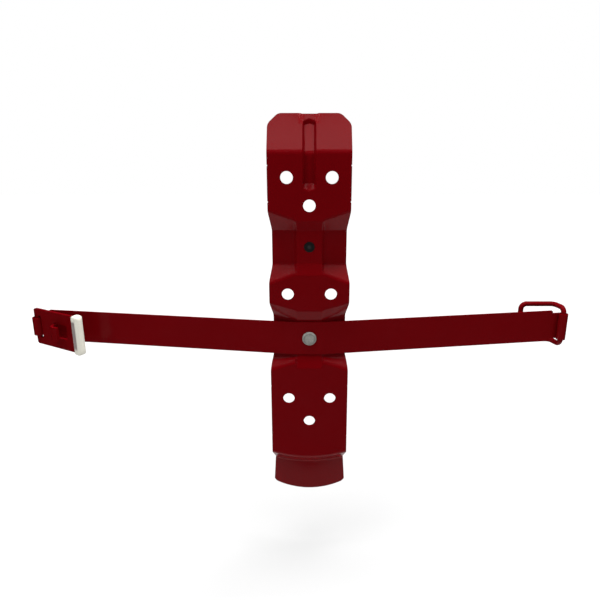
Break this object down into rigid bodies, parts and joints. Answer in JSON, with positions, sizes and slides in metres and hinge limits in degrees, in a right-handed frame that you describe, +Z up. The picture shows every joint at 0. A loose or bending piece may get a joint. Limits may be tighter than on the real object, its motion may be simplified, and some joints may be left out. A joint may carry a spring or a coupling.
{
  "type": "fire extinguisher wall bracket",
  "caption": "Pressed steel wall plate with a hooded top flange, curved foot tab and a riveted strap that closes round a bottle with an over-centre lever and wire bail.",
  "frame": {"origin": "on the wall plane, at the middle of the plate's width and of its middle row of screw holes", "axes": "+Z up along the plate, +X across it towards the wire bail, +Y out from the wall towards the bottle"},
  "size_m": [0.421, 0.045, 0.2892],
  "materials": {
    "red_paint": "glossy baked enamel",
    "rivet_steel": "plain, dull",
    "black_rubber": "matt",
    "white_plastic": "smooth, softly glossy"
  },
  "bodies": {
    "plate": {"back_plate": "red_paint", "strap": "red_paint", "strap_rivet": "rivet_steel", "rubber_bumper": "black_rubber"},
    "lever": {"latch_lever": "red_paint", "lever_grip": "white_plastic"},
    "bail": {"wire_bail": "red_paint"}
  },
  "joints": [
    {"name": "lever_hinge", "type": "hinge", "parent": "plate", "child": "lever", "pos_m": [-0.21434, 0.03268, -0.0347], "axis": [0, 0, 1], "range_deg": [-280, 18]},
    {"name": "bail_hinge", "type": "hinge", "parent": "plate", "child": "bail", "pos_m": [0.19916, 0.03073, -0.0347], "axis": [0, 0, 1], "range_deg": [-322, 20]}
  ]
}
